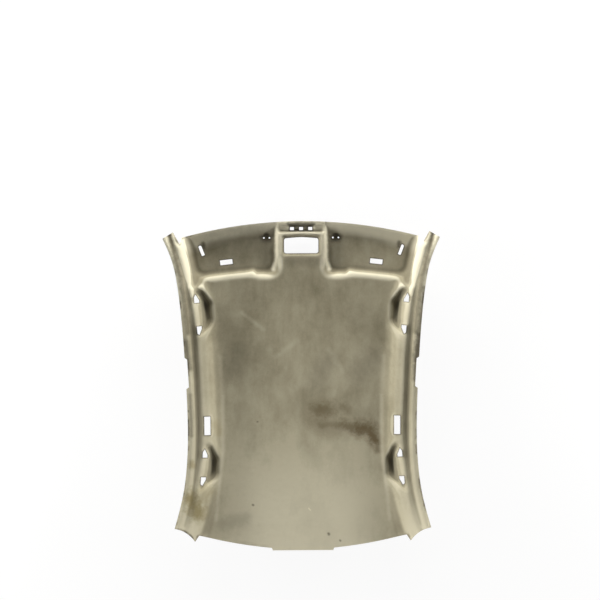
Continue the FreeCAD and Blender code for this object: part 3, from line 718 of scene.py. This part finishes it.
def roof_fleece():
    material, tree, shader, position = new_material("roof_side_fleece")
    fibres = cloud(tree, moves(tree, "MULTIPLY", position, (1.0, 0.25, 1.0)), 420.0, 6.0, 0.75)
    bound = placed_group(tree, mottling, {"Position": position, "Depth": 1.0})["Mask"]
    colour = blended(tree, bound, FLEECE, FLEECE_BOUND)
    pale = spanned(tree, fibres, 0.5, 0.75, 0.0, 0.35)
    tree.links.new(blended(tree, pale, colour, srgb(205, 201, 190)), shader.inputs["Base Color"])
    weave = placed_group(tree, knit, {"Position": position, "Loops per metre": 240.0})["Height"]
    with_relief(tree, shader, sums(tree, "ADD", fibres, sums(tree, "MULTIPLY", weave, 0.4)), 0.0010)
    shader.inputs["Roughness"].default_value = 0.92
    shader.inputs["Specular IOR Level"].default_value = 0.25
    return material


lining.data.materials.append(cut_core())
lining.data.materials.append(roof_fleece())
print("materials:", [slot.name for slot in lining.data.materials])

# %% [markdown]
# ## Floor and backdrop
# The panel lies fabric side up on a plain white floor, on its crowned back. The floor shines a
# little in its own right for the camera alone, which keeps it white without more light on the
# panel, and the rest of it is ordinary matt paint, so the panel's shadow stays.

# %% Floor
FLOOR_GLOW = 0.92


def white_floor():
    mesh = bpy.data.meshes.new("floor")
    size = 60.0
    corners = [(-size, -size, 0.0), (size, -size, 0.0), (size, size, 0.0), (-size, size, 0.0)]
    mesh.from_pydata(corners, [], [(0, 1, 2, 3)])
    floor = bpy.data.objects.new("floor", mesh)
    floor.location.z = -0.0005
    bpy.context.scene.collection.objects.link(floor)
    material, tree, shader, _ = new_material("matt_white_floor")
    shader.inputs["Base Color"].default_value = (0.9, 0.9, 0.9, 1.0)
    shader.inputs["Roughness"].default_value = 0.95
    shader.inputs["Specular IOR Level"].default_value = 0.0
    glow = add_node(tree, "ShaderNodeEmission", {"Color": (1.0, 1.0, 1.0, 1.0), "Strength": 1.0})
    seen = sums(tree, "MULTIPLY", add_node(tree, "ShaderNodeLightPath").outputs["Is Camera Ray"], FLOOR_GLOW)
    both = add_node(tree, "ShaderNodeMixShader", {0: seen, 1: shader.outputs[0], 2: glow.outputs[0]})
    tree.links.new(both.outputs[0], tree.nodes["Material Output"].inputs["Surface"])
    mesh.materials.append(material)
    floor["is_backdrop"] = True
    return floor


white_floor()

# %% [markdown]
# ## Low side light
# Soft boxes stand low on the left, on the right and before the windscreen edge, with a weak one
# behind, and only the pale room lights the panel from above. Faces that lean, such as the rails,
# the ears and the recesses' walls, catch them in full, while the flat field gets them at a slant
# and stays a tone darker. That is what brings out so shallow a relief.

# %% Lights
TARGET = Vector((0.0, 0.0, 0.05))


def soft_box(name, place, width, height, watts, tint=(1.0, 0.99, 0.96)):
    light = bpy.data.lights.new(name, "AREA")
    light.shape = "RECTANGLE"
    light.size, light.size_y = width, height
    light.energy = watts
    light.color = tint
    lamp = bpy.data.objects.new(name, light)
    lamp.location = place
    lamp.rotation_euler = (TARGET - Vector(place)).to_track_quat("-Z", "Y").to_euler()
    lamp.visible_camera = False
    bpy.context.scene.collection.objects.link(lamp)
    return lamp


soft_box("left_box", (-3.2, 0.2, 0.58), 2.6, 0.6, 190.0)
soft_box("right_box", (3.2, 0.2, 0.58), 2.6, 0.6, 140.0)
soft_box("front_box", (0.0, 3.6, 0.85), 3.2, 0.6, 230.0)
soft_box("rear_box", (0.0, -4.2, 1.6), 3.2, 1.0, 25.0)

world = bpy.data.worlds.new("pale_room")
world.use_nodes = True
bpy.context.scene.world = world
room = world.node_tree
background = room.nodes["Background"]
background.inputs["Color"].default_value = (1.0, 1.0, 1.0, 1.0)
camera_ray = add_node(room, "ShaderNodeLightPath").outputs["Is Camera Ray"]
room.links.new(spanned(room, camera_ray, 0.0, 1.0, 0.05, 1.0), background.inputs["Strength"])

# %% [markdown]
# ## Camera
# The panel is seen straight from above, from far away, so that its raised rims aren't drawn
# larger than the field. The picture is 2.7 m wide at the panel and turned by a third of a degree.

# %% Camera
DISTANCE = 16.0
PICTURE_WIDTH = 2.7
LOOK_AT = (-0.0068, 0.384)

camera_data = bpy.data.cameras.new("camera")
camera = bpy.data.objects.new("camera", camera_data)
bpy.context.scene.collection.objects.link(camera)
camera.location = (*LOOK_AT, DISTANCE)
camera.rotation_euler = (0.0, 0.0, math.radians(-0.35))
camera_data.sensor_width = 36.0
camera_data.lens = 36.0 * DISTANCE / PICTURE_WIDTH
camera_data.clip_end = 200.0
bpy.context.scene.camera = camera
bpy.context.scene.view_settings.view_transform = "Standard"
print("lens:", round(camera_data.lens, 1), "mm")

# %% [markdown]
# ## Both boxes
# The dressed sheet should stay about the solid's size, so both boxes are printed side by side.

# %% Print both boxes
dressed_box = [list(corner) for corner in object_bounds()]
for name, box in (("solid", solid_box), ("dressed", dressed_box)):
    print(name, "size:", [round(high - low, 4) for low, high in zip(*box)])
